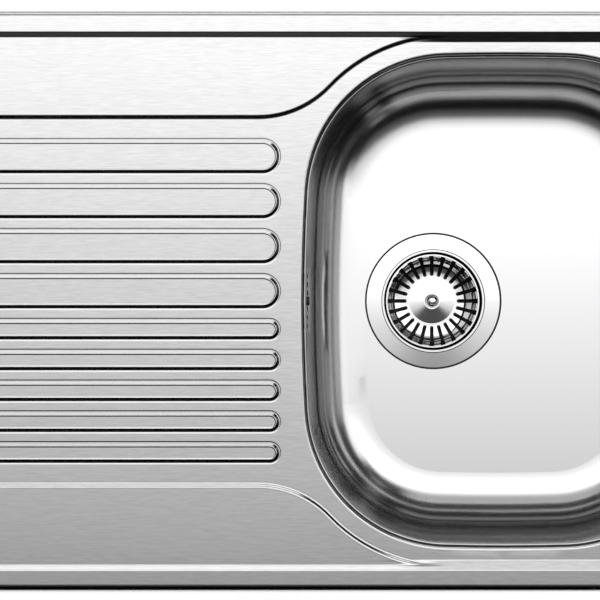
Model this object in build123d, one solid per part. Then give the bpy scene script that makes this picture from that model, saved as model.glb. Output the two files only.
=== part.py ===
from build123d import *
from math import acos, atan2, cos, degrees, radians, sin, sqrt, tan
import os

os.makedirs("parts", exist_ok=True)

# Inset kitchen sink with drainer, basket waste, overflow and worktop clamps.
# Millimetres. Origin in the middle of the outline on the worktop plane, +X to the bowl, +Y to the back, +Z up.

# Overall outline of the deck pressing
length = 780.0
width = 500.0
outer_corner = 15.0
sheet = 0.8
shoulder = 7.0

# Levels of the deck above the worktop
rim_top = 9.0
ledge_rise = 2.3
drain_rise = 2.3
rib_rise = 2.1
ledge_top = rim_top - ledge_rise
drain_top = ledge_top - drain_rise
lip_bottom = 0.6
step_slope = 45.0
slope_run = tan(radians(step_slope))
sink_in = 0.5

# Raised rim and the two ledges that sweep in an S towards the bowl
rim_width = 19.7
rim_inner_corner = 28.0
ledge_width = 92.1
ledge_line = width / 2 - ledge_width
ledge_bend_radius = 85.0
ledge_sweep_radius = 138.0
ledge_end_width = 22.5
ledge_end_line = width / 2 - ledge_end_width
buried_line = 10.0

# Seal under the rim and the cut-out that the sink drops into
cutout_margin = 10.0
seal_outer = 2.6
seal_clear = 0.6
seal_inner = cutout_margin - seal_clear

# Rails welded under the rim, measured from the outer edge inwards
rail_sheet = 1.0
rail_gap = 1.0
rail_depth = 8.0
rail_lip = 6.0
rail_outer = cutout_margin + rail_gap
rail_web = rail_outer + rail_depth
rail_foot = rail_web - rail_lip
rail_below = 6.0
rail_end = 60.0

# Lines of the clamps inside the rails, and the room that they leave for the bowl
screw_to_rail = 4.5
leg_to_screw = 7.5
leg_gap = 0.8
screw_line = rail_web + screw_to_rail
leg_line = screw_line + leg_to_screw
lip_radius = 2.6
bowl_flange = 7.0
bowl_room = leg_line + leg_gap + bowl_flange - lip_radius

# Bowl plan shape: four softly bowed sides and large corners
bowl_left = 0.1
bowl_right = length / 2 - bowl_room
bowl_x = (bowl_left + bowl_right) / 2
bowl_half_x = (bowl_right - bowl_left) / 2
bowl_half_y = width / 2 - bowl_room
bowl_side_radius = 1570.0
bowl_end_radius = 1900.0
bowl_corner = 125.0

# Bowl section
bowl_ledge = 0.8
bowl_top_radius = 1.8
bowl_depth = 155.0
bowl_draft = 4.0
floor_radius = 46.0
floor = lip_bottom - bowl_depth
wall_inset = lip_radius + bowl_ledge + bowl_top_radius

# Bend of the ledges, and raised ribs of the drainer: the wide ones share what the narrow ones leave
ledge_to_bowl = 36.3
ledge_bend_x = bowl_left - ledge_to_bowl
rib_to_bowl = 19.1
rib_to_edge = 44.0
rib_right_end = bowl_left - rib_to_bowl
rib_left_end = rib_to_edge - length / 2
rib_edge_gap = 20.4
narrow_rib = 14.3
narrow_rib_gap = 12.2
narrow_rib_count = 5
narrow_rib_pitch = narrow_rib + narrow_rib_gap
narrow_room = narrow_rib_count * narrow_rib_pitch - narrow_rib_gap
narrow_rib_first = rib_edge_gap + narrow_room - ledge_line - narrow_rib / 2
wide_rib_gap = 12.5
wide_rib_count = 4
wide_rib_pitch = (2 * ledge_line - 2 * rib_edge_gap - narrow_room) / wide_rib_count
wide_rib = wide_rib_pitch - wide_rib_gap
wide_rib_first = ledge_line - rib_edge_gap - wide_rib / 2

# Waste: strainer cup set in a recess of the bowl floor
drain_inset = 120.1
drain_x = bowl_left + drain_inset
strainer_radius = 60.0
recess_gap = 1.1
recess_depth = 3.4
strainer_sheet = 1.0
strainer_edge_drop = 0.2
strainer_fall = 1.6
cup_inner = 44.4
mouth_ring = 1.6
mouth_bevel = 0.8
mouth_step = 0.9
cup_depth = 43.0
cup_cone = 20.0
seat_room = 1.0
cup_clear = 1.4
aperture = 21.0
aperture_drop = 11.0
waste_hole = cup_inner + strainer_sheet + cup_clear
boss_radius = 6.0
boss_height = 8.0
spider_bar = 4.0
spider_height = 3.0
spider_count = 3

# Waste body below the bowl
body_gasket_thick = 2.5
gasket_margin = 1.2
gasket_clear = 0.1
body_inner = 49.0
body_wall = 3.0
body_flange = 58.0
body_flange_thick = 4.0
body_floor = 62.0
outlet_radius = 23.9
outlet_bore = 20.5
outlet_length = 35.0
body_boss_radius = 8.0
body_boss_drop = 10.0

# Screw that pulls the cup and the waste body together
waste_screw_radius = 3.0
waste_screw_fit = 0.2
waste_head_radius = 5.2
waste_head_height = 3.2
waste_nut_flats = 10.0
waste_nut_height = 5.0
screw_beyond_nut = 1.5

# Strainer basket
basket_sheet = 0.8
basket_rim = 42.2
basket_wall_top = 41.0
basket_height = 27.0
basket_round = 3.0
crown_radius = 20.5
crown_rise = 4.6
dish_gap = 1.9
dish_start = crown_radius + dish_gap
dish_radius = 26.0
dish_turn = 34.0
stopper_radius = 24.5
stopper_thick = 3.0
seat_gap = 0.02
slot_count = 24
slot_width = 3.4
slot_gap = 0.4
slot_inner = dish_start + slot_gap
slot_rise = 12.0
knob_radius = 6.1
knob_crown = 0.92
knob_height = 12.0
knob_post = 2.5
knob_neck = 4.0
knob_foot_radius = 7.4
knob_foot = 1.2
basket_nut_flats = 8.0
basket_nut_height = 2.6
nut_pocket = 0.6

# Overflow in the left wall of the bowl
overflow_drop = 16.6
overflow_slots_each_side = 3
overflow_pitch = 7.15
overflow_slot = 4.2
overflow_slot_tall = 14.0
overflow_gasket_thick = 2.0
head_wide = 58.0
head_tall = 24.0
head_wall = 3.0
head_boss = 5.0
overflow_screw_radius = 2.0
overflow_screw_head = 4.0
overflow_head_height = 1.8

# Overflow pipe with a nut and a seal at each end
pipe_outer = 10.0
pipe_inner = 8.0
pipe_bend = 32.0
pipe_level = 40.0
socket_gap = 0.1
socket_wall = 2.2
socket_length = 16.0
pipe_in_socket = 9.0
seal_length = 3.0
nut_wall = 3.4
nut_grip = 9.0
nut_end = 3.0
thread_gap = 0.05
inlet_reach = 16.0
pipe_gap = 0.3
socket_outer = pipe_outer + socket_gap + socket_wall
nut_clear = 2.5
head_deep = overflow_gasket_thick + 2 * socket_outer + nut_clear

# Sound-deadening pads
pad_thick = 2.5
pad_margin = 8.0
bowl_pad_y = 90.0
drainer_pad_end = 38.5
drainer_pad_side = 42.9

# Worktop clamps: bracket hooked on the rail, jaw and screw
bracket_sheet = 1.2
bracket_width = 18.0
hook_gap = 0.15
leg_width = 12.0
leg_bottom = 62.0
screw_radius = 2.5
run_clear = 0.06
clear_hole = 0.6
jaw_travel = 26.0
jaw_stop_gap = 0.5
worktop_most = 44.0
nut_level = 29.0
nut_tab = 1.5
nut_collar = 2.0
nut_collar_radius = 4.4
jaw_sheet = 2.0
jaw_width = 18.0
jaw_slot_gap = 0.3
jaw_behind_leg = 4.0
jaw_inner = leg_line + jaw_behind_leg
jaw_arm = cutout_margin + rail_gap
jaw_reach = 1.0
screw_head_flats = 8.0
screw_head_height = 3.5
screw_head_gap = 0.05
screw_slot = 1.2
screw_tip = 1.0
clamp_from_left = 60.0
clamp_from_right = 100.0

margin = 1.0
same = 0.01


# Helpers: boxes by their limits, rings and turned shapes
def block(x0, x1, y0, y1, z0, z1):
    middle = Pos((x0 + x1) / 2, (y0 + y1) / 2, (z0 + z1) / 2)
    return middle * Box(x1 - x0, y1 - y0, z1 - z0)


def rod(radius, z0, z1):
    return Pos(0, 0, (z0 + z1) / 2) * Cylinder(radius, z1 - z0)


def ring(inner, outer, z0, z1):
    return rod(outer, z0, z1) - rod(inner, z0 - margin, z1 + margin)


def hex_bar(flats, z0, z1):
    shape = RegularPolygon(flats / 2, 6, major_radius=False)
    return extrude(Pos(0, 0, z0) * shape, z1 - z0)


def turned(points):
    corners = [Vector(r, 0, z) for r, z in points]
    return revolve(make_face(Polyline(*corners, close=True)), Axis.Z, 360)


def at_drain(shape):
    return Pos(drain_x, 0, floor) * shape


# Bowl plan shape grown outwards by a distance, as a face round the bowl's own centre
def bowl_face(grow):
    side = Vector(bowl_half_x - bowl_side_radius, 0)
    end = Vector(0, bowl_half_y - bowl_end_radius)
    to_side = bowl_side_radius - bowl_corner
    to_end = bowl_end_radius - bowl_corner
    line = end - side
    apart = line.length
    along = (to_side**2 - to_end**2 + apart**2) / (2 * apart)
    across = sqrt(to_side**2 - along**2)
    unit = line / apart
    corner = side + unit * along + Vector(-unit.Y, unit.X) * across
    foot = side + (corner - side).normalized() * (bowl_side_radius + grow)
    head = end + (corner - end).normalized() * (bowl_end_radius + grow)
    bulge = corner + ((foot + head) / 2 - corner).normalized() * (bowl_corner + grow)

    def turn(point, sx, sy):
        return (point.X * sx, point.Y * sy)

    edges = []
    for sx, sy in ((1, 1), (-1, 1), (-1, -1), (1, -1)):
        edges.append(ThreePointArc(turn(foot, sx, sy), turn(bulge, sx, sy), turn(head, sx, sy)))
    for sx in (1, -1):
        edges.append(ThreePointArc(turn(foot, sx, -1), (sx * (bowl_half_x + grow), 0), turn(foot, sx, 1)))
    for sy in (1, -1):
        edges.append(ThreePointArc(turn(head, -1, sy), (0, sy * (bowl_half_y + grow)), turn(head, 1, sy)))
    return make_face(edges)


# Edges of a body that follow the bowl plan shape at one level
def outline_edges(body, grow, z):
    radii = [bowl_corner + grow, bowl_side_radius + grow, bowl_end_radius + grow]
    return [
        edge
        for edge in body.edges().filter_by(GeomType.CIRCLE)
        if abs(edge.center().Z - z) < same and min(abs(edge.radius - r) for r in radii) < same
    ]


def bowl_prism(grow, z0, z1):
    return extrude(Pos(bowl_x, 0, z0) * bowl_face(grow), z1 - z0)


# Ledge plan shape at the back, grown towards the drainer by a distance
def ledge_face(grow):
    rise = ledge_end_line - ledge_line
    bend = acos(1 - rise / (ledge_bend_radius + ledge_sweep_radius))
    run = (ledge_bend_radius + ledge_sweep_radius) * sin(bend)
    left = -length / 2 + buried_line
    right = ledge_bend_x + run
    far = width / 2 - buried_line
    near = ledge_line - grow
    last = ledge_end_line - grow
    first_centre = (ledge_bend_x, ledge_line + ledge_bend_radius)
    last_centre = (right, ledge_end_line - ledge_sweep_radius)
    turn = degrees(bend)
    sweep = [
        CenterArc(first_centre, ledge_bend_radius + grow, -90, turn),
        CenterArc(last_centre, ledge_sweep_radius - grow, 90, turn),
    ]
    rest = Polyline((right, last), (right, far), (left, far), (left, near), (ledge_bend_x, near))
    return make_face(sweep + [rest])


# Shape that gets narrower upwards at the slope of the pressed steps, given its plan shape at mid height
def pressed(face_at, z_low, rise):
    foot = face_at((rise / 2 + sink_in) * slope_run)
    return extrude(Pos(0, 0, z_low - sink_in) * foot, rise + sink_in, taper=step_slope)


def rib(y, across):
    long = rib_right_end - rib_left_end
    middle = (rib_right_end + rib_left_end) / 2

    def face_at(grow):
        return Pos(middle, y) * SlotOverall(long + 2 * grow, across + 2 * grow)

    return face_at


# One face of the deck pressing as a filled block, a given depth under the outer face
def deck_block(depth, bottom):
    top = rim_top - depth
    level = drain_top - depth
    outline = RectangleRounded(length - 2 * depth, width - 2 * depth, outer_corner - depth)
    body = extrude(Pos(0, 0, bottom) * outline, top - bottom)
    body = fillet(body.faces().sort_by(Axis.Z)[-1].edges(), shoulder - depth)
    grow = margin * slope_run - rim_width
    mouth = RectangleRounded(length + 2 * grow, width + 2 * grow, rim_inner_corner)
    fall = top + margin - level
    body -= extrude(Pos(0, 0, top + margin) * mouth, fall, dir=(0, 0, -1), taper=step_slope)
    hole = depth - lip_radius
    body -= bowl_prism(hole, bottom - margin, top)
    lip = outline_edges(body, hole, level)
    body = fillet(lip, lip_radius - depth)
    ledge = pressed(ledge_face, level, drain_rise)
    body += [ledge, mirror(ledge, Plane.XZ)]
    for i in range(wide_rib_count):
        body += pressed(rib(wide_rib_first - i * wide_rib_pitch, wide_rib), level, rib_rise)
    for i in range(narrow_rib_count):
        body += pressed(rib(narrow_rib_first - i * narrow_rib_pitch, narrow_rib), level, rib_rise)
    return body


# Deck: one sheet pressed with rim, ledges, drainer and the turned-down lip of the bowl opening
under = deck_block(sheet, -margin)
deck = deck_block(0, lip_bottom) - under
export_step(deck, "parts/deck.step")

# Seal: foam strip that fills the hollow behind the rolled edge and rests on the worktop
seal_out = RectangleRounded(
    length - 2 * seal_outer, width - 2 * seal_outer, outer_corner - seal_outer
)
seal_in = RectangleRounded(
    length - 2 * seal_inner, width - 2 * seal_inner, outer_corner - seal_inner
)
rim_seal = extrude(seal_out - seal_in, rim_top) & under
export_step(rim_seal, "parts/rim_seal.step")


# Bowl: drawn pressing with a flange under the deck's lip, a recess for the strainer and the overflow slots
def basin(grow, bottom, radius):
    face = Pos(bowl_x, 0, lip_bottom) * bowl_face(grow - wall_inset)
    body = extrude(face, lip_bottom - bottom, dir=(0, 0, -1), taper=bowl_draft)
    return fillet(body.faces().sort_by(Axis.Z)[0].edges(), radius)


wall_grow = sheet / cos(radians(bowl_draft))
recess_radius = strainer_radius + recess_gap
flange_low = lip_bottom - sheet
outside = basin(wall_grow, floor - sheet, floor_radius + sheet)
outside += bowl_prism(bowl_flange - lip_radius, flange_low, lip_bottom)
at_flange = wall_grow - wall_inset - sheet * tan(radians(bowl_draft))
outside = fillet(outline_edges(outside, at_flange, flange_low), bowl_top_radius - sheet / 2)
outside += at_drain(rod(recess_radius + sheet, -recess_depth - sheet, -sheet / 2))
inside = basin(0, floor, floor_radius)
inside += bowl_prism(bowl_flange, lip_bottom, lip_bottom + margin)
inside = fillet(outline_edges(inside, -wall_inset, lip_bottom), bowl_top_radius)
inside += at_drain(rod(recess_radius, -recess_depth, sheet / 2))
bowl = outside - inside - at_drain(rod(waste_hole, -bowl_depth, 0))

# Plane on the outside of the left wall: x towards the front, y up the wall, z outwards
overflow_z = lip_bottom - overflow_drop
wall_x = bowl_x - bowl_half_x + wall_inset - wall_grow + overflow_drop * tan(radians(bowl_draft))
wall_out = Vector(-cos(radians(bowl_draft)), 0, -sin(radians(bowl_draft)))
on_wall = Plane(origin=(wall_x, 0, overflow_z), x_dir=(0, -1, 0), z_dir=wall_out).location
for i in range(1, overflow_slots_each_side + 1):
    for side in (-1, 1):
        slot = Pos(side * i * overflow_pitch, 0, -sheet * 4) * Rot(0, 0, 90)
        slot *= SlotOverall(overflow_slot_tall, overflow_slot)
        bowl -= on_wall * extrude(slot, sheet * 6)
bowl -= on_wall * rod(overflow_screw_radius, -sheet * 4, sheet * 2)
export_step(bowl, "parts/bowl.step")

# Pads: bitumen sheets stuck under the bowl floor and under the drainer
pad_left = drain_x + recess_radius + sheet + pad_margin
floor_inset = wall_inset + bowl_depth * tan(radians(bowl_draft)) + floor_radius
pad_right = bowl_x + bowl_half_x - floor_inset - pad_margin
pad_top = floor - sheet
bowl_pad = block(pad_left, pad_right, -bowl_pad_y, bowl_pad_y, pad_top - pad_thick, pad_top)
export_step(bowl_pad, "parts/bowl_pad.step")
drainer_low = drain_top - sheet
drainer_pad_y = ledge_line - drainer_pad_side
drainer_pad = block(
    rib_left_end + drainer_pad_end,
    rib_right_end - drainer_pad_end,
    -drainer_pad_y,
    drainer_pad_y,
    drainer_low - pad_thick,
    drainer_low,
)
export_step(drainer_pad, "parts/drainer_pad.step")

# Strainer cup: flange that falls to its edge in the recess, stepped mouth, coned floor, outlet with a spider
mouth_in = cup_inner + mouth_ring
mouth_out = mouth_in + mouth_bevel
flange_top = -strainer_edge_drop
flange_edge = flange_top - strainer_fall
ring_level = flange_top - mouth_step
seat_radius = stopper_radius + seat_room
cone_slope = tan(radians(cup_cone))
cup_foot = -cup_depth - strainer_sheet
tube_foot = -cup_depth - aperture_drop
cup_outer = cup_inner + strainer_sheet
under_bevel = strainer_sheet * tan(atan2(mouth_step, mouth_bevel) / 2)


def flange_under(radius):
    share = (radius - mouth_out) / (strainer_radius - mouth_out)
    return flange_top - strainer_sheet - strainer_fall * share


cup = turned(
    [
        (strainer_radius, flange_edge),
        (mouth_out, flange_top),
        (mouth_in, ring_level),
        (cup_inner, ring_level),
        (cup_inner, -cup_depth + (cup_inner - seat_radius) * cone_slope),
        (seat_radius, -cup_depth),
        (aperture, -cup_depth),
        (aperture, tube_foot),
        (aperture + strainer_sheet, tube_foot),
        (aperture + strainer_sheet, cup_foot),
        (seat_radius, cup_foot),
        (cup_outer, cup_foot + (cup_outer - seat_radius) * cone_slope),
        (cup_outer, ring_level - strainer_sheet),
        (mouth_in + under_bevel, ring_level - strainer_sheet),
        (mouth_out + under_bevel, flange_under(mouth_out + under_bevel)),
        (strainer_radius, flange_under(strainer_radius)),
    ]
)
spider_top = tube_foot + spider_height
boss_foot = spider_top - boss_height
for i in range(spider_count):
    arm = block(0, aperture + strainer_sheet / 2, -spider_bar / 2, spider_bar / 2, tube_foot, spider_top)
    cup += Rot(0, 0, 360 / spider_count * i) * arm
cup += rod(boss_radius, boss_foot, spider_top)
cup -= rod(waste_screw_radius + waste_screw_fit, boss_foot - margin, spider_top + margin)
export_step(at_drain(cup), "parts/strainer_cup.step")

# Gaskets: one between cup flange and recess, one between recess and waste body
gasket_in = waste_hole + gasket_margin
gasket_out = recess_radius - gasket_clear
cup_gasket = turned(
    [
        (gasket_in, -recess_depth),
        (gasket_out, -recess_depth),
        (gasket_out, flange_under(gasket_out)),
        (gasket_in, flange_under(gasket_in)),
    ]
)
export_step(at_drain(cup_gasket), "parts/cup_gasket.step")
recess_under = -recess_depth - sheet
body_top = recess_under - body_gasket_thick
body_gasket = ring(gasket_in, body_flange - gasket_margin, body_top, recess_under)
export_step(at_drain(body_gasket), "parts/body_gasket.step")

# Waste body: moulded chamber with the outlet thread below and the overflow inlet on the left
body_outer = body_inner + body_wall
body_under = -body_floor - body_wall
outlet_end = body_under - outlet_length
boss_low = -body_floor - body_boss_drop
inlet_end = -body_outer - inlet_reach
waste = ring(body_inner, body_flange, body_top - body_flange_thick, body_top)
waste += ring(body_inner, body_outer, body_under, body_top)
waste += ring(outlet_bore, body_outer, body_under, -body_floor)
waste += ring(outlet_bore, outlet_radius, outlet_end, -body_floor)
waste += rod(body_boss_radius, boss_low, -body_floor)
for i in range(spider_count):
    arm = block(0, outlet_bore + margin, -spider_bar / 2, spider_bar / 2, boss_low, -body_floor)
    waste += Rot(0, 0, 360 / spider_count * (i + 0.5)) * arm
inlet = Pos(inlet_end, 0, -pipe_level) * Rot(0, 90, 0)
inlet_long = -inlet_end - body_inner
waste += inlet * rod(socket_outer, 0, inlet_long - body_wall / 2)
waste -= inlet * rod(pipe_outer + socket_gap, -margin, pipe_in_socket)
waste -= inlet * rod(pipe_inner, 0, inlet_long + body_wall)
waste -= rod(waste_screw_radius + waste_screw_fit, boss_low - margin, -body_floor + margin)
waste -= hex_bar(waste_nut_flats, boss_low - margin, boss_low + waste_nut_height)
export_step(at_drain(waste), "parts/waste_body.step")

# Screw and brass nut that clamp the cup to the waste body
waste_nut = hex_bar(waste_nut_flats, boss_low, boss_low + waste_nut_height)
waste_nut -= rod(waste_screw_radius, boss_low - margin, boss_low + waste_nut_height + margin)
export_step(at_drain(waste_nut), "parts/waste_nut.step")
waste_screw = rod(waste_screw_radius, boss_low - screw_beyond_nut, spider_top + margin)
waste_head = rod(waste_head_radius, spider_top, spider_top + waste_head_height)
waste_head = fillet(waste_head.faces().sort_by(Axis.Z)[-1].edges(), waste_head_height / 2)
screw_slot_box = block(
    -waste_head_radius,
    waste_head_radius,
    -screw_slot / 2,
    screw_slot / 2,
    spider_top + waste_head_height / 2,
    spider_top + waste_head_height + margin,
)
export_step(at_drain(waste_screw + waste_head - screw_slot_box), "parts/waste_screw.step")

# Basket: slotted pressing with a coned middle and a dished floor, its stopper on the cup's outlet
stopper_low = -cup_depth + seat_gap
basket_low = stopper_low + stopper_thick
basket_base = basket_low + basket_sheet
basket_top = basket_low + basket_height
dish_middle = basket_base + dish_radius
dish_under = dish_radius + basket_sheet


def dish_point(radius, turn):
    angle = radians(turn)
    return (dish_start + radius * sin(angle), dish_middle - radius * cos(angle))


def dish_line(radius):
    points = [dish_point(radius, turn) for turn in (0, dish_turn / 2, dish_turn)]
    return ThreePointArc(*[Vector(r, 0, z) for r, z in points])


def straight_lines(points):
    return Polyline(*[Vector(r, 0, z) for r, z in points])


wall_foot, foot_level = dish_point(dish_radius, dish_turn)
under_foot, under_level = dish_point(dish_under, dish_turn)
lean = (basket_wall_top - wall_foot) / (basket_top - foot_level)
side_step = basket_sheet * sqrt(1 + lean**2)
basket_side = straight_lines(
    [
        (wall_foot, foot_level),
        (basket_wall_top, basket_top),
        (basket_rim, basket_top),
        (basket_rim, basket_top - basket_sheet),
        (basket_wall_top + side_step - lean * basket_sheet, basket_top - basket_sheet),
        (under_foot, under_level),
    ]
)
basket_middle = straight_lines(
    [
        (dish_start, basket_low),
        (crown_radius, basket_low),
        (0, basket_low + crown_rise),
        (0, basket_base + crown_rise),
        (crown_radius, basket_base),
        (dish_start, basket_base),
    ]
)
section = make_face([dish_line(dish_radius), dish_line(dish_under), basket_side, basket_middle])
basket = revolve(section, Axis.Z, 360)


def round_edges(solid, z):
    level = solid.edges().filter_by(GeomType.CIRCLE).filter_by_position(Axis.Z, z - same, z + same)
    return level.sort_by(SortBy.RADIUS)[-1:]


basket = fillet(round_edges(basket, foot_level), basket_round)
basket = fillet(round_edges(basket, under_level), basket_round + basket_sheet)
for i in range(slot_count):
    reach = basket_rim + margin
    opening = Pos((slot_inner + reach) / 2, 0, basket_low - margin)
    opening *= SlotOverall(reach - slot_inner, slot_width)
    basket -= Rot(0, 0, 360 / slot_count * i) * extrude(opening, slot_rise + margin)
basket -= rod(knob_post, basket_low, basket_top)
export_step(at_drain(basket), "parts/basket.step")

# Stopper, knob and nut that are held together on the basket
pocket_roof = stopper_low + nut_pocket + basket_nut_height
stopper = turned(
    [
        (0, basket_low + crown_rise),
        (crown_radius, basket_low),
        (stopper_radius, basket_low),
        (stopper_radius, stopper_low),
        (0, stopper_low),
    ]
)
stopper -= rod(knob_post, stopper_low - margin, basket_top)
stopper -= hex_bar(basket_nut_flats + nut_pocket, stopper_low - margin, pocket_roof)
export_step(at_drain(stopper), "parts/basket_stopper.step")
crown_slope = crown_rise / crown_radius
crown_top = basket_base + crown_rise
foot_top = crown_top + knob_foot
knob_top = foot_top + knob_height
knob = rod(knob_radius, (foot_top + knob_top) / 2, knob_top)
knob = fillet(knob.faces().sort_by(Axis.Z)[-1].edges(), knob_radius * knob_crown)
knob += rod(knob_neck, foot_top, knob_top - knob_height / 4)
knob += turned(
    [
        (knob_post, crown_top - knob_post * crown_slope),
        (knob_foot_radius, crown_top - knob_foot_radius * crown_slope),
        (knob_foot_radius, foot_top),
        (knob_post, foot_top),
    ]
)
knob += rod(knob_post, pocket_roof - basket_nut_height, foot_top)
export_step(at_drain(knob), "parts/basket_knob.step")
basket_nut = hex_bar(basket_nut_flats, pocket_roof - basket_nut_height, pocket_roof)
basket_nut -= rod(knob_post, stopper_low - margin, pocket_roof + margin)
export_step(at_drain(basket_nut), "parts/basket_nut.step")

# Overflow: gasket, moulded head and screw on the left wall
half_wide = head_wide / 2
half_tall = head_tall / 2
gasket_frame = block(-half_wide, half_wide, -half_tall, half_tall, -margin, overflow_gasket_thick)
gasket_frame -= block(
    -half_wide + head_wall,
    half_wide - head_wall,
    -half_tall + head_wall,
    half_tall - head_wall,
    -2 * margin,
    overflow_gasket_thick + margin,
)
overflow_gasket = on_wall * gasket_frame - outside
export_step(overflow_gasket, "parts/overflow_gasket.step")
head_box = block(-half_wide, half_wide, -half_tall, half_tall, overflow_gasket_thick, head_deep)
head_box -= block(
    -half_wide + head_wall,
    half_wide - head_wall,
    -half_tall + head_wall,
    half_tall - head_wall,
    overflow_gasket_thick - margin,
    head_deep - head_wall,
)
head_box += rod(head_boss, overflow_gasket_thick, head_deep)
screw_depth = head_deep - head_wall
head_box -= rod(overflow_screw_radius, overflow_gasket_thick - margin, screw_depth)
pipe_x = wall_x - head_deep + socket_outer
socket_low = overflow_z - half_tall - socket_length
inner_low = overflow_z - half_tall + head_wall
overflow_head = on_wall * head_box
overflow_head += Pos(pipe_x, 0, 0) * rod(socket_outer, socket_low, inner_low)
overflow_head -= Pos(pipe_x, 0, 0) * rod(pipe_outer + socket_gap, socket_low - margin, socket_low + pipe_in_socket)
overflow_head -= Pos(pipe_x, 0, 0) * rod(pipe_inner, socket_low, inner_low + margin)
export_step(overflow_head, "parts/overflow_head.step")
screw_under = -sheet - seat_gap
pan = rod(overflow_screw_head, screw_under - overflow_head_height, screw_under)
pan = fillet(pan.faces().sort_by(Axis.Z)[0].edges(), overflow_head_height / 2)
overflow_screw = pan + rod(overflow_screw_radius, screw_under - margin, screw_depth - margin)
export_step(on_wall * overflow_screw, "parts/overflow_screw.step")

# Overflow pipe: one bent tube from the head to the inlet of the waste body
pipe_z = floor - pipe_level
pipe_head_end = socket_low + pipe_in_socket
inlet_x = drain_x + inlet_end
pipe_inlet_end = inlet_x + pipe_in_socket
pipe_path = Polyline((pipe_x, 0, pipe_head_end), (pipe_x, 0, pipe_z), (pipe_inlet_end, 0, pipe_z))
pipe_path = fillet(pipe_path.vertices().sort_by(Axis.Z)[0:2].sort_by(Axis.X)[0:1], pipe_bend)
pipe_start = Plane(origin=(pipe_x, 0, pipe_head_end), z_dir=(0, 0, -1))
tube = pipe_start * (Circle(pipe_outer) - Circle(pipe_inner))
export_step(sweep(tube, path=pipe_path), "parts/overflow_pipe.step")


# Nut and seal of a pipe end, with the socket's end face at z = 0 and the pipe coming from below
def gland():
    thread = socket_outer + thread_gap
    low = -seal_length - nut_end
    nut = Rot(0, 0, 30) * hex_bar(2 * (thread + nut_wall), low, nut_grip)
    nut -= rod(thread, -seal_length, nut_grip + margin)
    nut -= rod(pipe_outer + pipe_gap, low - margin, margin - seal_length)
    return nut, ring(pipe_outer, socket_outer, -seal_length, 0)


head_nut, head_seal = gland()
at_head = Pos(pipe_x, 0, socket_low)
export_step(at_head * head_nut, "parts/head_nut.step")
export_step(at_head * head_seal, "parts/head_seal.step")
at_inlet = Pos(inlet_x, 0, pipe_z) * Rot(0, 90, 0)
export_step(at_inlet * head_nut, "parts/inlet_nut.step")
export_step(at_inlet * head_seal, "parts/inlet_seal.step")

# Edges of the sink: turn of the outward direction and distance of the edge from the middle
edges_of_sink = {
    "back": (0, width / 2, length),
    "front": (180, width / 2, length),
    "left": (90, length / 2, width),
    "right": (-90, length / 2, width),
}


# Place a shape made with x along the edge and y outwards from the edge
def on_edge(shape, edge, along):
    turn, half, _ = edges_of_sink[edge]
    return Rot(0, 0, turn) * Pos(along, half, 0) * shape


# Rails: channels that open outwards, welded under the rim on all four sides
rail_top = rim_top - sheet
for edge, (_, _, long) in edges_of_sink.items():
    half = long / 2 - rail_end
    rail = block(-half, half, -rail_web, -rail_outer, rail_top - rail_sheet, rail_top)
    rail += block(-half, half, -rail_web, rail_sheet - rail_web, -rail_below, rail_top)
    rail += block(-half, half, -rail_web, -rail_foot, -rail_below, rail_sheet - rail_below)
    export_step(on_edge(rail, edge, 0), f"parts/rail_{edge}.step")

# Bracket of a clamp: hook over the rail's foot, leg that guides the jaw and tab with the thread
half = bracket_width / 2
half_leg = leg_width / 2
hook_low = rail_sheet - rail_below
hook_out = hook_gap - rail_foot
plate_top = -rail_below - hook_gap
plate_low = plate_top - bracket_sheet
hook_in = rail_sheet - rail_web + 2 * hook_gap
hook_end = hook_out + bracket_sheet
leg_out = bracket_sheet - leg_line
bracket = block(-half, half, hook_in, hook_end, hook_low, hook_low + bracket_sheet)
bracket += block(-half, half, hook_out, hook_end, plate_low, hook_low + bracket_sheet)
bracket += block(-half, half, -leg_line, hook_end, plate_low, plate_top)
bracket += block(-half_leg, half_leg, -leg_line, leg_out, -leg_bottom, plate_top)
tab_end = nut_collar_radius + margin - screw_line
bracket += block(-half_leg, half_leg, -leg_line, tab_end, -nut_level, nut_tab - nut_level)
at_screw = Pos(0, -screw_line, 0)
collar_top = nut_tab + nut_collar - nut_level
bracket += at_screw * rod(nut_collar_radius, -nut_level, collar_top)
bracket -= at_screw * rod(screw_radius + run_clear, -nut_level - margin, collar_top + margin)
bracket -= at_screw * rod(screw_radius + clear_hole, plate_low - margin, plate_top + margin)

# Jaw: plate on the screw that slides along the leg, with an arm and a claw under the worktop
jaw_top = -nut_level - jaw_travel - jaw_stop_gap
jaw_low = jaw_top - jaw_sheet
half = jaw_width / 2
half_slot = half_leg + jaw_slot_gap
arm_in = -jaw_arm - jaw_sheet
jaw = block(-half, half, -jaw_inner, -jaw_arm, jaw_low, jaw_top)
jaw += block(-half, half, arm_in, -jaw_arm, jaw_low, -worktop_most)
jaw += block(-half, half, arm_in, -jaw_reach, -worktop_most - jaw_sheet, -worktop_most)
jaw -= block(
    -half_slot,
    half_slot,
    -leg_line - jaw_slot_gap,
    leg_out + jaw_slot_gap,
    jaw_low - margin,
    jaw_top + margin,
)
jaw -= at_screw * rod(screw_radius + run_clear, jaw_low - margin, jaw_top + margin)

# Screw of a clamp: hexagon head under the jaw, tip just through the thread
head_top = jaw_low - screw_head_gap
head_low = head_top - screw_head_height
clamp_screw = rod(screw_radius, head_top - margin, collar_top + screw_tip)
clamp_screw += hex_bar(screw_head_flats, head_low, head_top)
clamp_screw -= block(
    -screw_head_flats,
    screw_head_flats,
    -screw_slot / 2,
    screw_slot / 2,
    head_low - margin,
    head_low + screw_head_height / 3,
)

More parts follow.
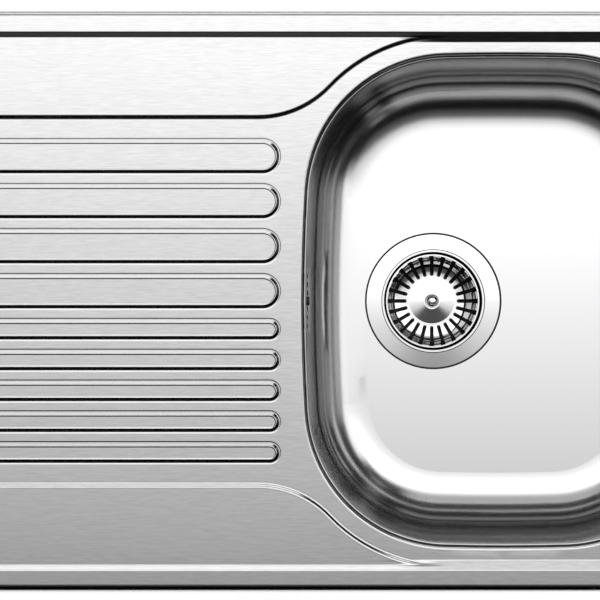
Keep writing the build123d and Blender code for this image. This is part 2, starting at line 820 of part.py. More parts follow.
# Clamps: three along the back, three along the front, one on each short side
rail_half = length / 2 - rail_end
first_clamp = clamp_from_left - rail_half
last_clamp = rail_half - clamp_from_right
places = [("left", 0), ("right", 0)]
for x in (first_clamp, (first_clamp + last_clamp) / 2, last_clamp):
    places.append(("back", x))
    places.append(("front", -x))
for edge, along in places:
    count = sum(1 for name, spot in places if name == edge and spot <= along)
    tag = f"{edge}_{count}"
    export_step(on_edge(bracket, edge, along), f"parts/clamp_bracket_{tag}.step")
    export_step(on_edge(jaw, edge, along), f"parts/clamp_jaw_{tag}.step")
    export_step(on_edge(at_screw * clamp_screw, edge, along), f"parts/clamp_screw_{tag}.step")
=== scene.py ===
from math import acos, atan2, ceil, pi, radians, sin, sqrt

import bpy
import numpy as np
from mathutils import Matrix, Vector, geometry


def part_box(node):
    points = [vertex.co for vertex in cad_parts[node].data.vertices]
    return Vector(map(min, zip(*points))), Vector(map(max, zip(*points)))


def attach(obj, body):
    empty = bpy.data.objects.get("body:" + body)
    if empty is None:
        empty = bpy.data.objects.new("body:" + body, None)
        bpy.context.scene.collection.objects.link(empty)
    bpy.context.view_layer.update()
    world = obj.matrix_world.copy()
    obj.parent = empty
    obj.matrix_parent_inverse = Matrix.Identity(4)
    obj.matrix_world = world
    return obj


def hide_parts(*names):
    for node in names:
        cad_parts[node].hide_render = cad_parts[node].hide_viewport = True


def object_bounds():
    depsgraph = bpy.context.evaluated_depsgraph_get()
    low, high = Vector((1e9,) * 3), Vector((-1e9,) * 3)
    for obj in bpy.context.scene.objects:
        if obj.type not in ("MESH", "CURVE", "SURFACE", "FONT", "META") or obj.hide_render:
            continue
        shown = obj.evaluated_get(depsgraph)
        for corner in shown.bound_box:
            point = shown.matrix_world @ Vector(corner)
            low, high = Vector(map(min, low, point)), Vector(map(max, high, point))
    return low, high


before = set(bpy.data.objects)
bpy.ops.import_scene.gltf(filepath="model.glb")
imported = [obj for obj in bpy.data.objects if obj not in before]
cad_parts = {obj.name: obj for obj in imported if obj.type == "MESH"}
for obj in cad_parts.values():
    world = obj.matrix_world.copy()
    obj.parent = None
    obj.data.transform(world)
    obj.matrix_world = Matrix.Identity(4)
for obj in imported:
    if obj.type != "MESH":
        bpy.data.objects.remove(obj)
cad_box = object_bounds()

# Bowl: drawn from one blank of stainless steel, its floor ground to a pale satin; its walls are painted
# darker as painted shade.
# Its flange is welded under the deck, and its left wall has the overflow slots.
# The recess round the strainer's flange is painted near-black out to a bead of sealant: painted shade in the
# gap, and the dark sealant bead at its edge.
mm = 0.001
bowl_floor = -154.4 * mm
floor_gloss, wall_gloss, gloss_spread = 0.2, 0.1, 0.03
ground_to, wall_from = 12.0 * mm, 22.0 * mm
recess_gap = 1.1 * mm
bead = 0.5 * mm


class Socket:
    """A shader socket that takes part in plain arithmetic."""

    prefix = "ShaderNode"
    shared = ()

    def __init__(self, tree, link=None):
        self.tree = tree
        self.link = link

    def add(self, kind, settings=None, values=None, out=0):
        prefix = Socket.prefix if kind in self.shared else self.prefix
        node = self.tree.nodes.new(prefix + kind)
        for name, value in (settings or {}).items():
            setattr(node, name, value)
        self.fill(node, values or {})
        return type(self)(self.tree, node.outputs[out])

    def fill(self, node, values):
        for name, value in values.items():
            if isinstance(value, Socket):
                self.tree.links.new(value.link, node.inputs[name])
            else:
                node.inputs[name].default_value = value

    def bumps(self, height, depth):
        return self.add("Bump", values={"Height": height, "Distance": depth, "Strength": 1.0})

    def math(self, operation, first, second):
        return self.add("Math", {"operation": operation}, {0: first, 1: second})

    def __add__(self, other):
        return self.math("ADD", self, other)

    def __mul__(self, other):
        return self.math("MULTIPLY", self, other)

    def __sub__(self, other):
        return self.math("SUBTRACT", self, other)

    def __rsub__(self, other):
        return self.math("SUBTRACT", other, self)

    __radd__ = __add__
    __rmul__ = __mul__


def grey(level):
    return (level, level, level, 1.0)


def even(scale):
    return (scale, scale, scale)


def new_finish(name):
    made = bpy.data.materials.new(name)
    made.use_nodes = True
    return made, Socket(made.node_tree)


def set_finish(made, values):
    shader = made.node_tree.nodes["Principled BSDF"]
    Socket(made.node_tree).fill(shader, values)
    return made


def speckle(start, scale, detail=2.0):
    place = start.add("TexCoord", out="Object")
    stretched = start.add("Mapping", values={"Vector": place, "Scale": scale})
    return start.add("TexNoise", values={"Vector": stretched, "Scale": 1.0, "Detail": detail})


def between(start, share, first, second):
    return start.add("Mix", {"data_type": "RGBA"}, {0: share, 6: first, 7: second}, out=2)


def dress(made, *nodes):
    for node in nodes:
        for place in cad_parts[node].material_slots:
            place.material = made


def height_share(start, low, high):
    place = start.add("TexCoord", out="Object")
    height = start.add("SeparateXYZ", values={0: place}, out=2)
    return start.add("MapRange", values={"Value": height, "From Min": low, "From Max": high})


# The walls' darker grey is painted shade, not the steel's own colour; the same height mask also makes the
# walls glossier.
bowl_pale, bowl_wall_painted_shade, recess_painted_shade = grey(0.76), grey(0.4), grey(0.02)
bowl_steel_painted_shade, start = new_finish("Satin bowl steel with painted wall shade")
grain = speckle(start, even(300.0))
wall_painted_shade_and_gloss = height_share(start, bowl_floor + ground_to, bowl_floor + wall_from)
tone = between(start, wall_painted_shade_and_gloss, bowl_pale, bowl_wall_painted_shade)
cup_low, cup_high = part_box("strainer_cup")
cup_x = (cup_low.x + cup_high.x) / 2
cup_radius = (cup_high.x - cup_low.x) / 2
spot = start.add("TexCoord", out="Object")
aside = start.add("SeparateXYZ", values={0: spot}) - cup_x
deep = start.add("SeparateXYZ", values={0: spot}, out=1)
# Near-black disc round the cup: painted shade in the recess gap, with the sealant bead at its edge.
recess_painted_shade_mask = start.math("LESS_THAN", aside * aside + deep * deep, (cup_radius + recess_gap + bead) ** 2)
tone = between(start, recess_painted_shade_mask, tone, recess_painted_shade)
rough = floor_gloss + (grain - 0.5) * gloss_spread + wall_painted_shade_and_gloss * (wall_gloss - floor_gloss)
set_finish(bowl_steel_painted_shade, {"Base Color": tone, "Metallic": 1.0, "Roughness": rough})
dress(bowl_steel_painted_shade, "bowl")

# Deck: one sheet of stainless steel brushed along its length, with a raised rim, two ledges and nine ribs.
# Its outer edge is rolled down to the worktop and its opening is turned down into the bowl.
deck_low, deck_high = (np.array(corner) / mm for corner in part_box("deck"))
half_length, half_width, rim_top = deck_high
edge_bottom = deck_low[2]
outer_corner = 15.0
shoulder = 7.0
sheet = 0.8
ledge_rise = 2.3
drain_top = rim_top - 2 * ledge_rise


def section(*bends):
    """Share of the rise that a pressed edge has reached, from its slope at some places across it."""
    places, slopes = zip(*bends)
    fine = np.arange(places[0], places[-1], 0.01)
    risen = np.cumsum(np.interp(fine, places, slopes))
    return fine, risen / risen[-1]


# Raised rim: creased at its foot where it stands on the ledges, one long slope on the bare deck
rim_line = 22.3
rim_corner = 28.0
rim_section = section((-1.5, 0.0), (-0.7, 0.58), (0.2, 0.48), (2.4, 0.48), (3.3, 0.56), (4.1, 0.0))
bare_section = section((-5.6, 0.0), (-4.9, 0.52), (3.2, 0.52), (4.0, 0.0))

# Ledges: straight along the drainer, then an S towards the bowl that dies away in the rim
ledge_line = half_width - 92.1
ledge_end = half_width - 22.5
ledge_bend = (-36.2, 85.0)
ledge_sweep = 138.0
ledge_section = section(
    (-3.0, 0.0), (-2.5, -0.06), (-2.1, 0.0), (0.0, 1.0), (0.4, 1.0), (2.5, 0.0), (2.9, -0.06), (3.4, 0.0)
)
fade_before, fade_long = 42.0, 34.0
clear_of_rim = 2.0

# Ribs: middle line and width of each, set off by a groove round the foot and a bead round the top
rib_right = -19.0
rib_left = 44.0 - half_length
rib_rise = 1.4
rib_section = section(
    (-3.1, 0.0), (-2.3, -0.36), (-1.6, 0.0), (-1.1, 0.75), (1.1, 0.75), (1.5, 0.0), (2.1, -0.55), (2.8, 0.0)
)
wide_rib, wide_pitch, wide_first = 26.2, 38.7, 124.4
narrow_rib, narrow_pitch, narrow_first = 14.3, 26.5, -24.35
ribs = [(wide_first - i * wide_pitch, wide_rib / 2) for i in range(4)]
ribs += [(narrow_first - i * narrow_pitch, narrow_rib / 2) for i in range(5)]

# Opening for the bowl: four softly bowed sides, large corners and a lip that is turned down
lip_out, lip_in, lip_high = 1.0, 2.4, 3.5
# How far the skirt under the lip reaches into the bowl; the skirt is painted near-black as painted shade.
lip_skirt_reach = 1.2
lip_wide = lip_out + lip_in
flange = 4.4
bowl_low, bowl_high = (np.array(corner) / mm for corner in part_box("bowl"))
bowl_x = (bowl_low[0] + bowl_high[0]) / 2
bowl_half = np.array([bowl_high[0] - bowl_x, bowl_high[1]]) - flange
bowl_corner = 125.0
side_radius, end_radius = 1570.0, 1900.0
side_middle = np.array([bowl_half[0] - side_radius, 0.0])
end_middle = np.array([0.0, bowl_half[1] - end_radius])
apart = np.linalg.norm(end_middle - side_middle)
unit = (end_middle - side_middle) / apart
to_side, to_end = side_radius - bowl_corner, end_radius - bowl_corner
along = (to_side**2 - to_end**2 + apart**2) / (2 * apart)
across = sqrt(to_side**2 - along**2)
corner_middle = side_middle + unit * along + np.array([-unit[1], unit[0]]) * across


def beyond_box(x, y, half_x, half_y, corner):
    dx = np.abs(x) - half_x + corner
    dy = np.abs(y) - half_y + corner
    outside = np.hypot(np.maximum(dx, 0), np.maximum(dy, 0))
    return outside + np.minimum(np.maximum(dx, dy), 0) - corner


def outer_side(x, y):
    return beyond_box(x, y, half_length, half_width, outer_corner)


def rim_side(x, y):
    return beyond_box(x, y, half_length - rim_line, half_width - rim_line, rim_corner)


ledge_turn = acos(1 - (ledge_end - ledge_line) / (ledge_bend[1] + ledge_sweep))
sweep_x = ledge_bend[0] + (ledge_bend[1] + ledge_sweep) * sin(ledge_turn)
bend_middle = np.array([ledge_bend[0], ledge_line + ledge_bend[1]])
sweep_middle = np.array([sweep_x, ledge_end - ledge_sweep])


def ledge_side(x, y):
    bend = ledge_bend[1] - np.hypot(x - bend_middle[0], y - bend_middle[1])
    sweep = np.hypot(x - sweep_middle[0], y - sweep_middle[1]) - ledge_sweep
    line = sweep_middle - bend_middle
    left = line[0] * (y - bend_middle[1]) - line[1] * (x - bend_middle[0]) < 0
    curved = np.where(left, bend, sweep)
    straight = np.where(x < ledge_bend[0], y - ledge_line, curved)
    return np.where(x > sweep_x, y - ledge_end, straight)


def bowl_side(x, y):
    px, py = np.abs(x - bowl_x), np.abs(y)
    by_side = np.hypot(px - side_middle[0], py - side_middle[1]) - side_radius
    by_end = np.hypot(px - end_middle[0], py - end_middle[1]) - end_radius
    by_corner = np.hypot(px - corner_middle[0], py - corner_middle[1]) - bowl_corner
    to_c = corner_middle - side_middle
    below = to_c[0] * (py - side_middle[1]) - to_c[1] * (px - side_middle[0]) < 0
    to_c = corner_middle - end_middle
    beside = to_c[0] * (py - end_middle[1]) - to_c[1] * (px - end_middle[0]) > 0
    return np.where(below, by_side, np.where(beside, by_end, by_corner))


def deck_height(x, y):
    share = np.interp(np.maximum(ledge_side(x, y), ledge_side(x, -y)), *ledge_section)
    level = ledge_rise * share
    for middle, half in ribs:
        reach_x = x - np.clip(x, rib_left + half, rib_right - half)
        level = level + rib_rise * np.interp(half - np.hypot(reach_x, y - middle), *rib_section)
    rim = rim_side(x, y)
    raised = level + (2 * ledge_rise - level) * np.interp(rim, *rim_section)
    plain = 2 * ledge_rise * np.interp(rim, *bare_section)
    past_ledge = np.clip((x - sweep_x + fade_before) / fade_long, 0, 1)
    left_end = np.clip((rib_left - x) / shoulder, 0, 1)
    bare = np.maximum(past_ledge**2 * (3 - 2 * past_ledge), left_end * (1 - share))
    level = raised + (plain - raised) * bare
    roll = np.clip(shoulder + outer_side(x, y), 0, shoulder)
    level = level - shoulder + np.sqrt(shoulder**2 - roll**2)
    fall = np.clip((lip_out - bowl_side(x, y)) / lip_wide, 0, 1)
    return drain_top + level - lip_high * (1 - np.sqrt(1 - fall**2))


# Lines along each pressed shape, at steps across its curve, that the sheet is meshed on
stretch = 24.0
turn_step = radians(4)
quarter_turn = np.linspace(0, pi / 2, 13)
rim_steps = np.linspace(-6.0, 4.4, 27)
ledge_steps = np.linspace(-3.4, 3.0, 17)
rib_steps = np.linspace(-2.8, 3.1, 21)


def arc(middle, radius, start, end):
    count = max(1, ceil(abs(end - start) / turn_step))
    turns = np.linspace(start, end, count + 1)
    return np.stack([middle[0] + radius * np.cos(turns), middle[1] + radius * np.sin(turns)], 1)


def divided(points, closed):
    points = np.array(points)
    ends = np.roll(points, -1, 0) if closed else points[1:]
    made = []
    for first, last in zip(points, ends):
        count = max(1, ceil(np.linalg.norm(last - first) / stretch))
        made += [first + (last - first) * i / count for i in range(count)]
    return np.array(made if closed else made + [points[-1]])


def box_loop(half_x, half_y, corner):
    quarter = pi / 2
    parts = []
    for i, (sx, sy) in enumerate(((1, 1), (-1, 1), (-1, -1), (1, -1))):
        middle = (sx * (half_x - corner), sy * (half_y - corner))
        parts.append(arc(middle, corner, i * quarter, (i + 1) * quarter))
    return divided(np.concatenate(parts), True)


def rib_loop(middle, half, grow):
    left = arc((rib_left + half, middle), half + grow, pi / 2, 3 * pi / 2)
    right = arc((rib_right - half, middle), half + grow, -pi / 2, pi / 2)
    return divided(np.concatenate([left, right]), True)


def ledge_curve(grow):
    bend = arc(bend_middle, ledge_bend[1] + grow, -pi / 2, ledge_turn - pi / 2)
    sweep = arc(sweep_middle, ledge_sweep - grow, pi / 2 + ledge_turn, pi / 2)
    start = [[-half_length, ledge_line - grow]]
    curve = divided(np.concatenate([start, bend, sweep[1:]]), False)
    return curve[rim_side(*curve.T) < -clear_of_rim]


def bowl_loop(grow):
    foot = corner_middle - side_middle
    head = corner_middle - end_middle
    foot_turn, head_turn = atan2(foot[1], foot[0]), atan2(head[1], head[0])
    side = arc(side_middle, side_radius + grow, 0, foot_turn)
    corner = arc(corner_middle, bowl_corner + grow, foot_turn, head_turn)
    end = arc(end_middle, end_radius + grow, head_turn, pi / 2)
    quarter = divided(np.concatenate([side, corner[1:], end[1:]]), False)
    half = np.concatenate([quarter, quarter[-2:0:-1] * [-1, 1]])
    whole = np.concatenate([half, [[-quarter[0][0], 0]], half[:0:-1] * [1, -1]])
    return whole + [bowl_x, 0]


points, lines = [], []


def draw(line, closed):
    first = sum(len(part) for part in points)
    points.append(line)
    count = len(line)
    for i in range(count if closed else count - 1):
        lines.append((first + i, first + (i + 1) % count))


for inside in shoulder * (1 - np.sin(quarter_turn)):
    draw(box_loop(half_length - inside, half_width - inside, outer_corner - inside), True)
for grow in rim_steps:
    inside = rim_line - grow
    draw(box_loop(half_length - inside, half_width - inside, rim_corner + grow), True)
for grow in ledge_steps:
    back = ledge_curve(grow)
    draw(back, False)
    draw(back * [1, -1], False)
for middle, half in ribs:
    for grow in rib_steps:
        draw(rib_loop(middle, half, grow), True)
for turn in quarter_turn:
    draw(bowl_loop(lip_out - lip_wide * sin(turn)), True)

# Loose points where the ledges run into the rim
merge_step = 1.5
merge_left, merge_right, merge_below, merge_above = 75.0, 15.0, 7.0, 4.0
merge_x = np.arange(sweep_x - merge_left, sweep_x + merge_right, merge_step)
merge_y = np.arange(ledge_end - merge_below, ledge_end + merge_above, merge_step)
merge = np.stack(np.meshgrid(merge_x, merge_y), -1).reshape(-1, 2)
points += [merge, merge * [1, -1]]

flat = [Vector(point) for point in np.concatenate(points)]
hull_triangles, same_point = 0, 1e-4
found = geometry.delaunay_2d_cdt(flat, lines, [], hull_triangles, same_point)
plan = np.array([point[:] for point in found[0]])
corners = np.array(found[2])
middles = plan[corners].mean(1)
within = outer_side(*middles.T) < 0
corners = corners[within & (bowl_side(*middles.T) > -lip_in)]

# Height and slope of the sheet at each point
probe = 0.01
x, y = plan[:, 0], plan[:, 1]
slope_x = (deck_height(x + probe, y) - deck_height(x - probe, y)) / (2 * probe)
slope_y = (deck_height(x, y + probe) - deck_height(x, y - probe)) / (2 * probe)
normals = np.stack([-slope_x, -slope_y, np.ones(len(plan))], 1)
normals /= np.linalg.norm(normals, axis=1)[:, None]
surface = np.stack([x, y, deck_height(x, y)], 1)


def rim_edges(faces):
    sides = np.concatenate([faces[:, [0, 1]], faces[:, [1, 2]], faces[:, [2, 0]]])
    keys = np.sort(sides, 1)
    _, place, count = np.unique(keys, axis=0, return_index=True, return_counts=True)
    return sides[place[count == 1]]


def steepest(side, x, y):
    slope = np.stack([side(x + probe, y) - side(x - probe, y), side(x, y + probe) - side(x, y - probe)], 1)
    return slope / np.linalg.norm(slope, axis=1)[:, None]


# Straight edge below the rolled rim and below the lip, square to the outline
open_sides = rim_edges(corners)
turned = np.unique(open_sides)
at_lip = bowl_side(x[turned], y[turned]) < 0
sideways = np.where(
    at_lip[:, None], -steepest(bowl_side, x[turned], y[turned]), steepest(outer_side, x[turned], y[turned])
)
level_out = np.concatenate([sideways, np.zeros((len(turned), 1))], 1)
normals[turned] = level_out
lower = np.zeros(len(surface), int)
lower[turned] = len(surface) + np.arange(len(turned))
below = surface[turned] * [1, 1, 0] + [0, 0, edge_bottom] + level_out * lip_skirt_reach * at_lip[:, None]
surface = np.concatenate([surface, below])
normals = np.concatenate([normals, level_out])
first, second = open_sides.T
skirt = np.concatenate(
    [np.stack([second, first, lower[first]], 1), np.stack([second, lower[first], lower[second]], 1)]
)
corners = np.concatenate([corners, skirt])


def sheet_piece(name, surface, normals, faces, thick):
    count = len(surface)
    first, second = rim_edges(faces).T
    strip = np.concatenate(
        [np.stack([second, first, first + count], 1), np.stack([second, first + count, second + count], 1)]
    )
    every = np.concatenate([faces, faces[:, ::-1] + count, strip])
    body = np.concatenate([surface, surface - normals * thick])
    mesh = bpy.data.meshes.new(name)
    mesh.from_pydata((body * mm).tolist(), [], every.tolist())
    mesh.shade_smooth()
    shading = np.concatenate([normals, -normals])[every]
    a, b, c = (body[strip[:, i]] for i in range(3))
    flat = np.cross(b - a, c - a)
    flat /= np.linalg.norm(flat, axis=1)[:, None] + 1e-12
    shading[-len(strip):] = flat[:, None, :]
    mesh.normals_split_custom_set(shading.reshape(-1, 3).tolist())
    piece = bpy.data.objects.new(name, mesh)
    bpy.context.scene.collection.objects.link(piece)
    return piece


def steel(name, colour, gloss, spread, scale):
    made, start = new_finish(name)
    marks = speckle(start, scale)
    darker, lighter = ([part * (1 + change) for part in colour[:3]] + [1.0] for change in (-spread, spread))
    tint = between(start, marks, darker, lighter)
    rough = gloss + (marks - 0.5) * spread * 0.5
    return set_finish(made, {"Base Color": tint, "Metallic": 1.0, "Roughness": rough})


deck = sheet_piece("deck_sheet", surface, normals, corners, sheet)
brush_marks = (80.0, 800.0, 800.0)
deck_steel = steel("Brushed deck steel", grey(0.53), gloss=0.18, spread=0.16, scale=brush_marks)
deck.data.materials.append(deck_steel)

# Painted shade along the foot of the lip: its turned-down edge and the skirt below are painted near-black, a
# painted shadow in the gap over the bowl
lip_shade_from = lip_in + 0.1
lip_painted_shade, start = new_finish("Painted shade under lip")
lip_shade_speckle = speckle(start, even(400.0))
lip_shade_tone = between(start, lip_shade_speckle, grey(0.01), grey(0.03))
set_finish(lip_painted_shade, {"Base Color": lip_shade_tone, "Roughness": 0.6 + lip_shade_speckle * 0.2})
deck.data.materials.append(lip_painted_shade)
centres = np.zeros(3 * len(deck.data.polygons), np.float32)
deck.data.polygons.foreach_get("center", centres)
across_x, across_y, _ = centres.reshape(-1, 3).T / mm
in_lip_shade = bowl_side(across_x, across_y) < -lip_shade_from
deck.data.polygons.foreach_set("material_index", in_lip_shade.astype(np.int32))
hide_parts("deck")
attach(deck, "sink")

# Strip under the rolled edge: dark closed-cell foam that seals the sink on the worktop.
# It is cut from sheet and stuck on all round, and its skin shows fine cells.
foam_cell = 700.0
foam, start = new_finish("Dark closed-cell foam")
cells = speckle(start, even(foam_cell), detail=3.0)
dark = between(start, cells, (0.016, 0.016, 0.017, 1.0), (0.04, 0.04, 0.041, 1.0))
set_finish(foam, {"Base Color": dark, "Roughness": 0.95, "Normal": start.bumps(cells, 0.4 * mm)})
dress(foam, "rim_seal")

# Rails under the rim: channels folded from zinc-plated sheet and welded under all four sides.
# The plating shows as large dull crystals.
plating, start = new_finish("Zinc-plated sheet")
place = start.add("TexCoord", out="Object")
crystals = start.add("TexVoronoi", values={"Vector": place, "Scale": 160.0}, out="Color")
shade = start.add("SeparateXYZ", values={0: crystals})
zinc = between(start, shade, (0.46, 0.47, 0.49, 1.0), (0.66, 0.67, 0.68, 1.0))
set_finish(plating, {"Base Color": zinc, "Metallic": 1.0, "Roughness": 0.3 + shade * 0.2})
dress(plating, "rail_back", "rail_front", "rail_left", "rail_right")

# Pads under drainer and bowl: soft bitumen sheets with a grainy, blotchy skin.
# They are cut to size and pressed on, to deaden the sound of water.
bitumen, start = new_finish("Grainy bitumen")
grains = speckle(start, even(420.0), detail=4.0)
blots = speckle(start, even(25.0))
tar = between(start, grains * 0.7 + blots * 0.3, (0.018, 0.018, 0.019, 1.0), (0.075, 0.075, 0.078, 1.0))
rough = 0.7 + grains * 0.25
set_finish(bitumen, {"Base Color": tar, "Roughness": rough, "Normal": start.bumps(grains, 0.5 * mm)})
dress(bitumen, "bowl_pad", "drainer_pad")

# Strainer: basket, knob, nut and screw are pressed or turned from stainless steel and polished.
# The basket lifts out of the cup by its knob, and the screw in the outlet holds cup and waste together.
# The screw of the overflow is of the same steel, rougher, and painted near-black as painted shade.
fine, coarse = even(500.0), even(300.0)
bright = steel("Polished strainer steel", grey(0.8), gloss=0.06, spread=0.02, scale=fine)
dress(bright, "basket", "basket_knob", "basket_nut", "waste_screw")
# The overflow screw's steel colour is darkened to near-black: painted shade.
overflow_screw_shaded_steel = steel("Dull screw steel with painted shade", grey(0.06), gloss=0.5, spread=0.1, scale=coarse)
dress(overflow_screw_shaded_steel, "overflow_screw")

# Cup of the strainer: drawn from the same steel, polished on its flange, and inside rougher and painted
# near-black as painted shade.
# The painted shade starts just below the mouth that the basket hangs in.
cup_top = cup_high.z
cup_shade_from, bright_to = 5.0 * mm, 2.5 * mm
cup, start = new_finish("Strainer cup steel")
shine = height_share(start, cup_top - cup_shade_from, cup_top - bright_to)
cup_shade_mottle = speckle(start, even(220.0))
# Painted shade inside the cup: near-black steel colour below the mouth.
dark_tone = between(start, cup_shade_mottle, grey(0.008), grey(0.03))
tint = between(start, shine, dark_tone, grey(0.8))
set_finish(cup, {"Base Color": tint, "Metallic": 1.0, "Roughness": 0.5 - shine * 0.38})
dress(cup, "strainer_cup")

# Gaskets, seals and the basket's stopper: moulded black rubber with a matt skin.
# The gaskets are clamped between the metal and the waste, and the seals are pressed in by their nuts.
rubber, start = new_finish("Black rubber")
skin = speckle(start, even(900.0))
black = between(start, skin, grey(0.012), grey(0.03))
rough = 0.5 + skin * 0.2
set_finish(rubber, {"Base Color": black, "Roughness": rough, "Normal": start.bumps(skin, 0.1 * mm)})
dress(rubber, "cup_gasket", "body_gasket", "basket_stopper", "overflow_gasket", "head_seal", "inlet_seal")

# Waste body, overflow head, pipe and union nuts: moulded from pale plastic with a fine eroded skin.
# Cloudy flow marks run down the mouldings, which the nuts and the screws hold together.
plastic, start = new_finish("Pale moulded plastic")
skin = speckle(start, even(1500.0))
flow = speckle(start, (18.0, 18.0, 6.0))
pale = between(start, flow, (0.76, 0.76, 0.73, 1.0), (0.84, 0.84, 0.82, 1.0))
rough = 0.36 + skin * 0.16
set_finish(plastic, {"Base Color": pale, "Roughness": rough, "Normal": start.bumps(skin, 0.08 * mm)})
dress(plastic, "waste_body", "overflow_head", "overflow_pipe", "head_nut", "inlet_nut")

# Nut in the waste body: turned from brass bar, with fine tool marks round its axis.
# It sits in the outlet, where the screw of the strainer pulls it up.
brass, start = new_finish("Turned brass")
marks = speckle(start, (60.0, 60.0, 4000.0))
tone = between(start, marks, (0.55, 0.37, 0.14, 1.0), (0.72, 0.52, 0.23, 1.0))
set_finish(brass, {"Base Color": tone, "Metallic": 1.0, "Roughness": 0.22 + marks * 0.16})
dress(brass, "waste_nut")

# Worktop clamps: bracket and jaw stamped from zinc-plated sheet, one set at each of eight places.
# The bracket hangs in the rail, and the jaw slides up to the worktop.
clamps = [node.removeprefix("clamp_jaw_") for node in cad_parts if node.startswith("clamp_jaw_")]
for clamp in clamps:
    dress(plating, f"clamp_bracket_{clamp}", f"clamp_jaw_{clamp}")

# Clamp screws: cold-headed and zinc plated, with a slotted hexagon under the jaw and a rolled thread.
# One tree makes a screw from its sizes, and each screw turns with its own body.
screw_sizes = {
    "Head flats": 8.0 * mm,
    "Head height": 3.5 * mm,
    "Slot width": 1.2 * mm,
    "Slot depth": 1.2 * mm,
    "Core radius": 2.1 * mm,
    "Thread depth": 0.36 * mm,
    "Pitch": 0.8 * mm,
    "Length": 36.55 * mm,
}
tree = bpy.data.node_groups.new("Clamp screw", "GeometryNodeTree")
ports = {}
for name, size in screw_sizes.items():
    port = tree.interface.new_socket(name, in_out="INPUT", socket_type="NodeSocketFloat")
    port.default_value = size
    ports[name] = port.identifier
for name, kind in (("Foot", "NodeSocketVector"), ("Turn", "NodeSocketVector")):
    ports[name] = tree.interface.new_socket(name, in_out="INPUT", socket_type=kind).identifier
tree.interface.new_socket("Geometry", in_out="OUTPUT", socket_type="NodeSocketGeometry")
inlet = tree.nodes.new("NodeGroupInput")
outlet = tree.nodes.new("NodeGroupOutput")


class Part(Socket):
    """A geometry socket with the same arithmetic."""

    prefix = "GeometryNode"
    shared = ("Math", "CombineXYZ")

    def up(self, height):
        return self.add("CombineXYZ", values={"Z": height})

    def moved(self, shape, values):
        return self.add("Transform", values={"Geometry": shape} | values)


begin = Part(tree)
given = {name: Part(tree, inlet.outputs[name]) for name in ports}
head_high, flats, core = given["Head height"], given["Head flats"], given["Core radius"]
head = begin.add("MeshCylinder", values={"Vertices": 6, "Radius": flats * (1 / sqrt(3)), "Depth": head_high})
head = begin.moved(head, {"Translation": begin.up(head_high * 0.5)})
groove_size = begin.add(
    "CombineXYZ", values={"X": flats * 2, "Y": given["Slot width"], "Z": given["Slot depth"] * 2}
)
groove = begin.add("MeshCube", values={"Size": groove_size})
head = begin.add("MeshBoolean", {"operation": "DIFFERENCE"}, {"Mesh 1": head, "Mesh 2": groove})
shank_long = given["Length"] - head_high
shank = begin.add("MeshCylinder", values={"Vertices": 24, "Radius": core, "Depth": shank_long})
shank = begin.moved(shank, {"Translation": begin.up(head_high + shank_long * 0.5)})
turns = begin.add("Math", {"operation": "DIVIDE"}, {0: shank_long - given["Pitch"] * 2, 1: given["Pitch"]})
spiral = begin.add(
    "CurveSpiral",
    values={
        "Resolution": 16,
        "Rotations": turns,
        "Start Radius": core,
        "End Radius": core,
        "Height": shank_long - given["Pitch"] * 2,
    },
)
ridge = begin.add("CurvePrimitiveCircle", values={"Resolution": 4, "Radius": given["Thread depth"]})
thread = begin.add("CurveToMesh", values={"Curve": spiral, "Profile Curve": ridge, "Fill Caps": True})
thread = begin.moved(thread, {"Translation": begin.up(head_high + given["Pitch"])})
joined = begin.add("JoinGeometry")
for shape in (head, shank, thread):
    tree.links.new(shape.link, joined.link.node.inputs[0])
placed = begin.moved(joined, {"Translation": given["Foot"], "Rotation": given["Turn"]})
whole = begin.add("RealizeInstances", values={"Geometry": placed})
whole = begin.add("SetMaterial", values={"Geometry": whole, "Material": plating})
tree.links.new(whole.link, outlet.inputs[0])

for clamp in clamps:
    low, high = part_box(f"clamp_screw_{clamp}")
    seed_mesh = bpy.data.meshes.new("screw")
    maker = bpy.data.objects.new("screw", seed_mesh)
    bpy.context.scene.collection.objects.link(maker)
    layout = maker.modifiers.new("Clamp screw", "NODES")
    layout.node_group = tree
    along_y = high.x - low.x < high.y - low.y
    layout[ports["Foot"]] = ((low.x + high.x) / 2, (low.y + high.y) / 2, low.z)
    layout[ports["Turn"]] = (0.0, 0.0, pi / 2 if along_y else 0.0)
    layout[ports["Length"]] = high.z - low.z
    view = bpy.context.evaluated_depsgraph_get()
    mesh = bpy.data.meshes.new_from_object(maker.evaluated_get(view))
    bpy.data.objects.remove(maker)
    screw = bpy.data.objects.new(f"threaded_screw_{clamp}", mesh)
    bpy.context.scene.collection.objects.link(screw)
    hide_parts(f"clamp_screw_{clamp}")
    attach(screw, f"screw_{clamp}")

# Floor: plain, pale and wide, under the lowest point of the waste.
# It glows a little where it is seen or mirrored, so that it stays white and keeps the shadow.
floor_half = 30.0
floor_white = 0.85
floor_z = cad_box[0].z
reach = ((-1, -1), (1, -1), (1, 1), (-1, 1))


def panel(name, corners):
    mesh = bpy.data.meshes.new(name)
    mesh.from_pydata(corners, [], [(0, 1, 2, 3)])
    made = bpy.data.objects.new(name, mesh)
    bpy.context.scene.collection.objects.link(made)
    return made


floor = panel("floor", [(a * floor_half, b * floor_half, floor_z) for a, b in reach])
pale, start = new_finish("Pale floor")
rays = start.add("LightPath", out="Is Camera Ray") + start.add("LightPath", out="Is Glossy Ray")
rays = rays + start.add("LightPath", out="Is Transmission Ray")
glow = start.add("Emission", values={"Strength": floor_white})
matt = start.add("BsdfDiffuse", values={"Color": grey(floor_white)})
lit = start.add("AddShader", values={0: glow, 1: matt})
mixed = start.add("MixShader", values={0: rays, 1: matt, 2: lit})
start.fill(pale.node_tree.nodes["Material Output"], {"Surface": mixed})
floor.data.materials.append(pale)


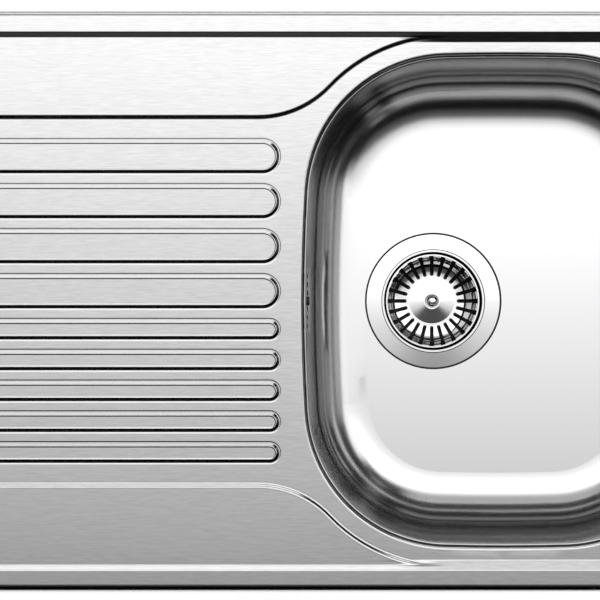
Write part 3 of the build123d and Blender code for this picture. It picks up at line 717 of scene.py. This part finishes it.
# Studio light: a softbox overhead that fades to the front, and white cards at the back and both sides.
# A black tent stands round them, so that the steel keeps its dark reflections.
def lamp(name, corners, level, fade=1.0, most=2.0, near=(-3.0, -2.0), far=(3.0, 2.0), dim=0.0):
    """A shining panel that fades to the front, and falls to a dim share past its near and far ends."""
    made = panel(name, corners)
    made.visible_camera = False
    light, start = new_finish(name)
    place = start.add("TexCoord", out="Object")
    back = start.add("SeparateXYZ", values={0: place}, out=1)
    glow = start.math("MINIMUM", start.math("POWER", fade, back) * level, most)
    for edge in (near, far):
        glow = glow * start.add(
            "MapRange",
            {"interpolation_type": "SMOOTHSTEP"},
            {"Value": back, "From Min": edge[0], "From Max": edge[1], "To Min": dim},
        )
    shine = start.add("Emission", values={"Strength": glow})
    start.fill(light.node_tree.nodes["Material Output"], {"Surface": shine})
    made.data.materials.append(light)


box_height, box_left = 1.1, -0.55
studio_front, studio_back, studio_side = -1.0, 1.4, 1.4
overhead = (
    (box_left, studio_front, box_height),
    (studio_side, studio_front, box_height),
    (studio_side, studio_back, box_height),
    (box_left, studio_back, box_height),
)
lamp("softbox", overhead, level=1.2, fade=4.95, most=1.9, near=(-0.52, -0.26), far=(1.5, 0.8), dim=0.2)


def card(name, first, last, low, high, level, **ends):
    lamp(name, [(*first, low), (*last, low), (*last, high), (*first, high)], level, **ends)


back_left, back_right = (-0.8, studio_back), (0.8, studio_back)
card("low_back_card", back_left, back_right, 0.05, 0.5, level=1.7)
card("high_back_card", back_left, back_right, 0.5, box_height, level=0.5)
left_front, left_back = (-studio_side, -0.7), (-studio_side, 0.7)
card("left_card", left_front, left_back, 0.5, box_height, level=1.3, near=(-0.6, -0.1), far=(0.6, 0.1))
right_front, right_back = (studio_side, -0.6), (studio_side, 0.8)
card("right_card", right_front, right_back, 0.55, box_height, level=1.3, near=(-0.45, -0.05))

tent_x, tent_y, tent_top = 2.2, 1.6, 1.7
cloth, start = new_finish("Black cloth")
weave = speckle(start, even(300.0))
dark_tone = between(start, weave, grey(0.002), grey(0.006))
set_finish(cloth, {"Base Color": dark_tone, "Roughness": 1.0, "Specular IOR Level": 0.0})
tent = [(a * tent_x, b * tent_y) for a, b in reach]
for i in range(4):
    (x0, y0), (x1, y1) = tent[i], tent[(i + 1) % 4]
    wall = panel("tent", [(x0, y0, floor_z), (x1, y1, floor_z), (x1, y1, tent_top), (x0, y0, tent_top)])
    wall.visible_camera = False
    wall.data.materials.append(cloth)
roof = panel("tent_roof", [(x, y, tent_top) for x, y in tent])
roof.visible_camera = False
roof.data.materials.append(cloth)

world = bpy.data.worlds.new("Studio")
world.use_nodes = True
world.node_tree.nodes["Background"].inputs["Color"].default_value = grey(0.9)
bpy.context.scene.world = world
bpy.context.scene.view_settings.view_transform = "Standard"

# Camera: straight above the middle of the sink, looking down.
# It is far enough away for the bowl's walls to close in as they do in the picture.
camera_height = 3.2
camera_back = 0.9 * mm
frame_width = 0.5157
lens = bpy.data.cameras.new("camera")
lens.sensor_width = 36.0
lens.lens = lens.sensor_width * camera_height / frame_width
lens.clip_end = 100.0
camera = bpy.data.objects.new("camera", lens)
camera.location = (0.0, camera_back, camera_height + drain_top * mm)
bpy.context.scene.collection.objects.link(camera)
bpy.context.scene.camera = camera
